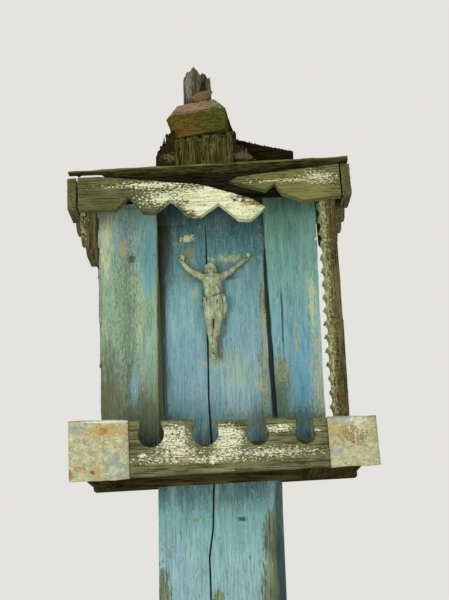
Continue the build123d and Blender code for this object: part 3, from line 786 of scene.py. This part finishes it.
timbers = (
    (GRAIN_ACROSS, 2.2, 2.0, "fascia_front_left fascia_front_right"),
    (GRAIN_ACROSS, 2.4, 2.6, "parapet_front"), (GRAIN_ACROSS, 3.0, 6.0, "upper_front_rail"),
    (GRAIN_UP, 3.2, 3.0, "back_board_left back_board_right"), (GRAIN_UP, 2.4, 3.4, "corner_post_right"),
    (GRAIN_UP, 2.2, 5.0, "corner_post_left_stub"), (GRAIN_ACROSS, 2.6, 4.0, "roof_board_front"),
    (GRAIN_ACROSS, 3.4, 4.0, "roof_board_second roof_board_third"),
    (GRAIN_ACROSS, 3.4, 4.0, "roof_board_left roof_board_right roof_board_rear"),
    (GRAIN_UP, 2.0, 2.0, "ridge_board_left"), (GRAIN_ACROSS, 2.2, 3.0, "ridge_board_right"),
    (GRAIN_BACK, 3.0, 2.0, "fascia_left fascia_right"),
    (GRAIN_BACK, 3.4, 2.6, "parapet_left parapet_right"), ((40, 40, 24), 2.4, 3.0, "cap_block"),
)
for grain, square, depth, names in timbers:
    for name in names.split():
        piece = weather(name, grain, square, depth)
        print(name, len(piece.data.polygons), "squares")

# %% [markdown]
# The post is one timber, but only its neck above the roof has rotted. One copy, cut off below the neck, keeps
# flat faces with bevelled arrises. Another is only the neck, whose upright cracks are a displacement of high
# contrast: most of the face stays and narrow bands go deep.

# %% Post and neck
NECK_FOOT = 2.553


def part_of_post(name, cut_off):
    piece = copy_of("post", name)
    cut = {"plane_co": (0, 0, NECK_FOOT), "plane_no": (0, 0, 1), "use_fill": True, cut_off: True}
    edit(piece, (bpy.ops.mesh.bisect, cut))
    return piece


post_shaft = part_of_post("post_shaft", "clear_outer")
apply(post_shaft, "BEVEL", width=3 * MM, segments=3, limit_method="ANGLE", angle_limit=math.radians(30))
place_piece(post_shaft, slots["post"], "post")

neck = part_of_post("cracked_neck", "clear_inner")
remesh(neck, 2.2)
wear(neck, (14, 14, 160), 14, contrast=2.6)
wear(neck, (6, 6, 90), 4)
paint(neck, neck_wood)
place_piece(neck, slots["post"], "post")
print("neck", len(neck.data.polygons), "squares")

# %% [markdown]
# Thin sheet that was folded by hand is never flat. The two corner sheets are cut into small squares and
# moved by a broad soft noise: their edges sink by up to three millimetres and their faces are pressed in by
# up to one.

# %% Dented sheet corners
CUTS = 12

for corner in ("tin_corner_left", "tin_corner_right"):
    sheet = copy_of(corner, corner + "_dented")
    edit(sheet, (bpy.ops.mesh.subdivide, {"number_cuts": CUTS}))
    wear(sheet, (50, 50, 50), 3, contrast=2, shift=5, direction="Z")
    wear(sheet, (36, 36, 36), -1, contrast=2, shift=8, direction="Y")
    place_piece(sheet, slots[corner], corner)
    print(sheet.name, len(sheet.data.polygons), "faces")

# %% [markdown]
# The stub of the cross was torn off and ends in splinters. One splinter is a block whose top is drawn to an
# edge. Rows of them stand on the stub's foot, and remeshing melts them into one piece of wood.

# %% One splinter
chance = random.Random(7)
low, high = [Vector(corner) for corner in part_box("cross_stub")]
foot = Vector(((low.x + high.x) / 2, (low.y + high.y) / 2, low.z))
size = high - low
outline = [(-0.5, 0.7), (-0.43, 0.84), (-0.36, 0.9), (-0.2, 0.86), (-0.1, 0.92), (-0.04, 1.0), (0.04, 0.82),
           (0.3, 0.84), (0.38, 0.68), (0.47, 0.73), (0.5, 0.6)]


def stub_height(across):
    for (left, left_height), (right, right_height) in zip(outline, outline[1:]):
        if across <= right:
            return left_height + (right_height - left_height) * (across - left) / (right - left)
    return outline[-1][1]


def block(name, x, y, base, width, height):
    bpy.ops.mesh.primitive_cube_add(size=1, location=(x, y, base + height / 2), scale=(width, width, height))
    piece = bpy.context.object
    piece.name = name
    choose(piece)
    freeze()
    pick(piece, lambda index, place: place.z > base + height / 2)
    return piece


def splinter(name, x, y, width, height, lean):
    piece = block(name, x, y, foot.z, width, height)
    bpy.ops.mesh.extrude_region_move(TRANSFORM_OT_translate={"value": (lean, lean * 0.5, width)})
    tip = (x + lean, y + lean * 0.5, foot.z + height + width)
    bpy.ops.transform.resize(value=(0.25, 0.7, 1), center_override=tip)
    bpy.ops.object.mode_set(mode="OBJECT")
    return piece


print("stub", [round(length / MM) for length in size], "mm")

# %% [markdown]
# The splinters overlap in a grid. The outline gives their height across the stub as a share of its own, and
# chance makes each one a little shorter.

# %% Splintered stub
COLUMNS, ROWS = 11, 6

splinters = []
for column in range(COLUMNS):
    for row in range(ROWS):
        across = (column + 0.5) / COLUMNS - 0.5 + chance.uniform(-0.02, 0.02)
        deep = (row + 0.5) / ROWS - 0.5
        tall = size.z * stub_height(across) * chance.uniform(0.84, 0.99)
        width = size.x / COLUMNS * chance.uniform(1.4, 1.9)
        x = foot.x + across * (size.x - width)
        y = foot.y + deep * (size.y - width)
        lean = chance.uniform(-0.003, 0.003)
        splinters.append(splinter(f"splinter_{column}_{row}", x, y, width, tall - width, lean))
stub = joined(splinters, "splintered_stub")
remesh(stub, 1.4)
wear(stub, (4, 4, 70), 3.0)
paint(stub, stub_wood)
place_piece(stub, slots["cross_stub"], "cross_stub")
print("stub", len(stub.data.polygons), "squares")

# %% [markdown]
# The flap in front of the stub is a scrap of sheet, curled up at its right end. It starts as a flat grid,
# and pulling in each column of points gives it the shape of a leaf.

# %% Flat leaf
FLAP_COLUMNS, FLAP_ROWS = 16, 8
FLAP_TURN, FLAP_TILT = math.radians(3.6), math.radians(34)

low, high = [Vector(corner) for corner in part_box("tin_curl")]
flap_middle = Vector(((low.x + high.x) / 2, (low.y + high.y) / 2, low.z + 3 * MM))
flap_length, flap_width = (high.x - low.x) * 1.06, (high.y - low.y) * 0.96
bpy.ops.mesh.primitive_grid_add(x_subdivisions=FLAP_COLUMNS, y_subdivisions=FLAP_ROWS, size=flap_length,
                                location=flap_middle)
flap = bpy.context.object
flap.name = "curled_flap"
choose(flap)
freeze()
narrow = {"value": (1, flap_width / flap_length, 1), "center_override": flap_middle}
edit(flap, (bpy.ops.transform.resize, narrow))
left_end = min(point.co.x for point in flap.data.vertices)
spacing = (max(point.co.x for point in flap.data.vertices) - left_end) / FLAP_COLUMNS
columns = [round((point.co.x - left_end) / spacing) for point in flap.data.vertices]


def column_middle(column):
    places = [point.co for point, own in zip(flap.data.vertices, columns) if own == column]
    return sum(places, Vector()) / len(places)


def change_columns(first, last, change, middle, **settings):
    pick(flap, lambda index, place: first <= columns[index] <= last)
    change(center_override=middle, **settings)
    bpy.ops.object.mode_set(mode="OBJECT")


for column in range(FLAP_COLUMNS + 1):
    share = max(0.12, math.sin(math.pi * (0.03 + 0.94 * column / FLAP_COLUMNS))) * chance.uniform(0.94, 1)
    change_columns(column, column, bpy.ops.transform.resize, column_middle(column), value=(1, share, 1))
print("leaf", round(flap_length / MM), "mm long")

# %% [markdown]
# The columns are turned one after the other, each by a few degrees about the middle of the last, and all
# that is further out turns with them. Then the leaf is tilted towards the viewer and given a thickness.

# %% Curled flap
for column in range(1, FLAP_COLUMNS):
    change_columns(column + 1, FLAP_COLUMNS, bpy.ops.transform.rotate, column_middle(column), value=FLAP_TURN,
                   orient_axis="Y")
tilt = {"value": FLAP_TILT, "orient_axis": "X", "center_override": flap_middle + Vector((0, 0, 12 * MM))}
edit(flap, (bpy.ops.transform.rotate, tilt))
apply(flap, "SOLIDIFY", thickness=2.2 * MM, offset=0.0)
apply(flap, "SUBSURF", levels=1, render_levels=1)
paint(flap, rust_flap)
place_piece(flap, slots["tin_curl"], "tin_curl")
print("flap, highest point", round(max(point.co.z for point in flap.data.vertices), 3))

# %% [markdown]
# Below the roof the post is about twice as wide. Beside the neck, remains of the outer wood have
# crumbled to short stumps, which are melted together like the splinters and worn by small round noise.

# %% Crumbled wood at the neck's foot
STUMP_WIDTH = 12 * MM
STUMP_STEP = 6 * MM
ROW_STEP = 9 * MM
ROWS_DEEP = 4
SUNK = 2 * MM

lumps = []
for across, above, reach in ((-98, 128, (26, 10)), (84, 124, (30, 10))):
    height = roof_top("roof_board_third", across * MM) * METRE + above
    lumps.append((0.7, "#70684B", (across, height), reach, 2.4))
crumb_tones = ("#120F08", "#2A2215", "#453926")
crumb_wood = bare_pine("crumbled_pine", crumb_tones, (9, 9, 7), 200, 1.5, lumps)


def stump(name, x, y, base, height):
    piece = block(name, x, y, base, STUMP_WIDTH, height)
    bpy.ops.mesh.inset(thickness=3 * MM)
    bpy.ops.transform.translate(value=(chance.uniform(-0.002, 0.002), 0, chance.uniform(0.002, 0.007)))
    bpy.ops.object.mode_set(mode="OBJECT")
    return piece


def crumbled(name, first, last, first_height, last_height, front):
    stumps = []
    count = max(3, round(abs(last - first) / STUMP_STEP))
    for step in range(count):
        share = step / (count - 1)
        x = first + (last - first) * share
        base = roof_top("roof_board_third", x) - SUNK
        for row in range(ROWS_DEEP):
            height = (first_height + (last_height - first_height) * share) * chance.uniform(0.8, 1)
            stumps.append(stump(f"{name}_{step}_{row}", x, front + row * ROW_STEP, base, height))
    piece = joined(stumps, name)
    remesh(piece, 2.2)
    wear(piece, (10, 10, 12), 7, contrast=1.6)
    paint(piece, crumb_wood)
    place_piece(piece, slots["cap_block"], angle=70)
    print(name, "from", count * ROWS_DEEP, "stumps")


crumbled("crumbled_wood_left", -0.100, -0.136, 0.225, 0.150, -0.060)
crumbled("crumbled_wood_right", 0.058, 0.112, 0.196, 0.114, -0.060)

# %% [markdown]
# The figure is modelled anew, because its cast surface is all curves. A limb is a chain of cones with a ball
# at each joint, muscles and folds are further balls and cones, and remeshing melts them into one skin, much
# as a wax model for casting is built up. Places are in millimetres: across, in depth and up.

# %% Shapes for the figure
def ball(parts, place, radii, turn=0):
    bpy.ops.mesh.primitive_uv_sphere_add(segments=20, ring_count=12, radius=MM, location=Vector(place) * MM,
                                         rotation=(0, math.radians(turn), 0), scale=radii)
    parts.append(bpy.context.object)


def bone(parts, start, end, first, last):
    start, end = Vector(start) * MM, Vector(end) * MM
    turn = (end - start).to_track_quat("Z", "Y").to_euler()
    length = (end - start).length
    bpy.ops.mesh.primitive_cone_add(vertices=20, radius1=first * MM, radius2=last * MM, depth=length,
                                    location=(start + end) / 2, rotation=turn)
    parts.append(bpy.context.object)


def limb(parts, *stations):
    for place, radius in stations:
        ball(parts, place, (radius, radius, radius))
    for (start, first), (end, last) in zip(stations, stations[1:]):
        bone(parts, start, end, first, last)


print("shapes: ball, bone and limb")

# %% [markdown]
# The body hangs from both hands with its knees a little to one side. The chest is arched and the waist
# drawn in, so the ribs' edge shows as a ridge above the belly.

# %% Body, arms and legs
body = []
ball(body, (-8, -113, 2340), (22, 12.5, 23))
ball(body, (-18, -122, 2347), (10, 5.5, 8), 10)
ball(body, (4, -122, 2349), (10, 5.5, 8), -10)
ball(body, (-8, -112, 2318), (19, 11, 22))
ball(body, (-6, -119, 2316), (10, 5, 12))
ball(body, (-6, -112, 2290), (24, 12, 18))
for side in (-1, 1):
    limb(body, ((-7, -124, 2337), 2.2), ((-7 + side * 8, -123, 2330), 2.4),
         ((-7 + side * 17, -117, 2318), 2.4))
    limb(body, ((-7 + side * 3, -121, 2359), 2), ((-7 + side * 22, -117, 2358), 2.6))
    for rib in range(3):
        limb(body, ((-7 + side * 14, -119.5, 2334 - rib * 6), 1.5),
             ((-7 + side * 21, -113, 2338 - rib * 6), 1.5))
limb(body, ((-28, -113, 2352), 9.6), ((-45, -112, 2363), 8), ((-60, -110, 2373), 6.6),
     ((-66, -109, 2379), 6.2), ((-74, -108, 2389), 5.6), ((-78, -107, 2396), 4))
ball(body, (-42, -116, 2361), (11, 6, 7), -33)
limb(body, ((14, -113, 2353), 9.6), ((31, -112, 2364), 8), ((47, -110, 2376), 6.6), ((53, -109, 2381), 6.2),
     ((65, -108, 2391), 5.6), ((73, -107, 2398), 4))
ball(body, (29, -116, 2361), (11, 6, 7), -30)
for x, z, tilt in ((-80, 2400, 14), (77, 2402, 34)):
    ball(body, (x, -106, z), (5.6, 3.6, 6.2), tilt)
    for finger in range(4):
        spread = math.radians(tilt + (finger - 1.5) * 15)
        middle = (x + math.sin(spread) * 8, -106, z + math.cos(spread) * 8)
        end = (x + math.sin(spread) * 12, -109 - finger % 2, z + math.cos(spread) * 12)
        limb(body, ((x, -106, z), 2), (middle, 1.9), (end, 1.5))
    side = -1 if x > 0 else 1
    limb(body, ((x, -107, z - 3), 2.2), ((x + side * 7, -109, z + 4), 1.7))
limb(body, ((-17, -113, 2284), 13), ((-17, -116, 2258), 11.5), ((-16, -119, 2240), 9), ((-16, -118, 2232), 8),
     ((-14, -115, 2216), 8.2), ((-13, -113, 2200), 6.4), ((-13, -112, 2184), 4.8))
limb(body, ((9, -113, 2284), 13), ((7, -116, 2258), 11.5), ((4, -119, 2240), 9), ((3, -118, 2232), 8),
     ((1, -115, 2216), 8), ((-3, -113, 2200), 6.4), ((-5, -112, 2184), 4.8))
ball(body, (-16, -125.5, 2237), (4.8, 3.4, 5.4))
ball(body, (4, -125.5, 2237), (4.8, 3.4, 5.4))
limb(body, ((-13, -111, 2182), 5.4), ((-14, -115, 2175), 5.4), ((-12, -120, 2164), 5), ((-9, -123, 2154), 4))
limb(body, ((-5, -112, 2182), 5.2), ((-5, -113, 2174), 5), ((-5, -116, 2162), 4.8), ((-4, -118, 2152), 4))
for toe in range(5):
    ball(body, (-12 + toe * 1.9, -126.5 + abs(toe - 2) * 0.5, 2150.5 + toe % 2), (1.4, 2, 2.6))
print("body", len(body), "shapes")

# %% [markdown]
# The loincloth is wrapped round the hips with a rolled edge, falls in upright folds between the legs and
# hangs down in a loose end at the figure's left.

# %% Loincloth
ball(body, (-5, -113, 2286), (26, 12.8, 18))
limb(body, ((-27, -115, 2300), 3), ((-16, -123, 2298), 3.2), ((-4, -125.5, 2299), 3.4),
     ((9, -123, 2304), 3.4), ((18, -116, 2309), 3))
limb(body, ((-26, -118, 2294), 2.2), ((-8, -128, 2291), 2.4), ((8, -127, 2298), 2.4), ((20, -119, 2304), 2.2))
folds = ((-24, -22, 2270), (-18, -15, 2262), (-12, -9, 2254), (-6, -5, 2248), (0, 1, 2250), (7, 7, 2252),
         (13, 14, 2260))
for top, low_end, drop in folds:
    deep = -119 - 9 * math.cos((top + 5) / 26 * 1.3)
    limb(body, ((top, deep, 2296), 2.2), (((top + low_end) / 2, deep - 1, 2276), 2.8),
         ((low_end, deep + 3, drop), 2))
limb(body, ((19, -119, 2302), 5), ((22, -118, 2286), 5), ((21, -116, 2268), 4), ((19, -114, 2252), 2.4))
limb(body, ((17, -123, 2300), 2), ((25, -119, 2284), 2.2), ((24, -117, 2266), 1.8))
print("with the cloth", len(body), "shapes")

# %% [markdown]
# The head is built upright round its own middle, with hair to the shoulders and a short beard, and then
# bowed forward and to the figure's right. The face is a plain calm one.

# %% Head
face = []
ball(face, (0, 2, 2), (10, 11.5, 11.5))
ball(face, (0, -3, -4), (7.8, 9.6, 9.6))
limb(face, ((0, -12, 2), 1.5), ((0, -14.4, -3.8), 2))
for side in (-1, 1):
    limb(face, ((side * 1.6, -12.2, 3), 1.4), ((side * 6.4, -10, 2.6), 1.4))
    ball(face, (side * 3.8, -10.6, -0.4), (2.3, 1.7, 1.2))
    ball(face, (side * 5.2, -8.8, -4), (2.8, 2.8, 2.6))
    limb(face, ((side * 1.6, -4.5, 12), 3.2), ((side * 8, -3, 8), 3.2), ((side * 10.2, 0, -2), 3),
         ((side * 10, 1, -11), 2.8), ((side * 11, 1, -18), 2))
    limb(face, ((side * 9, 4, 7), 4), ((side * 11.4, 4, -6), 3), ((side * 11, 5, -17), 2.6))
    limb(face, ((side * 0.9, -12.6, -6), 1.2), ((side * 4.4, -10.4, -8), 1.2))
    limb(face, ((side * 1.8, -9, -13), 2.8), ((side * 2.2, -9, -18.5), 1.6))
ball(face, (0, -11.8, -8), (2.8, 1.4, 1))
ball(face, (0, -7.6, -12.6), (6.2, 5.4, 4.6))
ball(face, (0, 4.6, 5), (11.2, 10, 10.4))
head = joined(face, "head")
head.location = Vector((-11, -116, 2374)) * MM
head.rotation_euler = (math.radians(12), math.radians(-8), math.radians(-6))
limb(body, ((-8, -112, 2354), 8), ((-10, -113, 2368), 6.8))
figure = joined([head] + body, "cast_figure_body")
remesh(figure, 0.95)
apply(figure, "SMOOTH", factor=0.5, iterations=3)
paint(figure, cast_metal)
place_piece(figure, slots["corpus"], "corpus", angle=70)
print("figure", len(figure.data.polygons), "squares")

# %% [markdown]
# Three nails hold the figure by its hands and feet. A nail head is a short cylinder with bevelled edges.

# %% Nails of the figure
NAIL_RADIUS = 2.2
NAIL_HEIGHT = 3

rusty_iron, tree = surface("rusty_nail_iron", 0.8)
dark_rust = (spots(tree, (3, 3, 3), 0.45, 0.6, 211), 0.8, "#2E2317")
fresh_rust = (spots(tree, (2, 2, 2), 0.58, 0.64, 212), 0.7, "#8A5F32")
iron_tone = coats(tree, "#55422C", [dark_rust, fresh_rust])
finish_surface(tree, iron_tone, [(0.4, spots(tree, (2, 2, 2), 0.3, 0.7, 213))])


def nail_head(name, place):
    bpy.ops.mesh.primitive_cylinder_add(vertices=20, radius=NAIL_RADIUS * MM, depth=NAIL_HEIGHT * MM,
                                        location=Vector(place) * MM, rotation=(math.radians(90), 0, 0))
    piece = bpy.context.object
    piece.name = name
    freeze()
    apply(piece, "BEVEL", width=NAIL_RADIUS * 0.35 * MM, segments=3, limit_method="ANGLE",
          angle_limit=math.radians(50))
    paint(piece, rusty_iron)
    place_piece(piece, slots["corpus"])
    print(name, "at", place)


nail_head("nail_right_hand", (-80, -110.5, 2399))
nail_head("nail_left_hand", (76, -110.5, 2401))
nail_head("nail_feet", (-9, -127, 2163))

# %% [markdown]
# Nothing more is added: the scene is complete.

# %% Finish
print("scene complete")
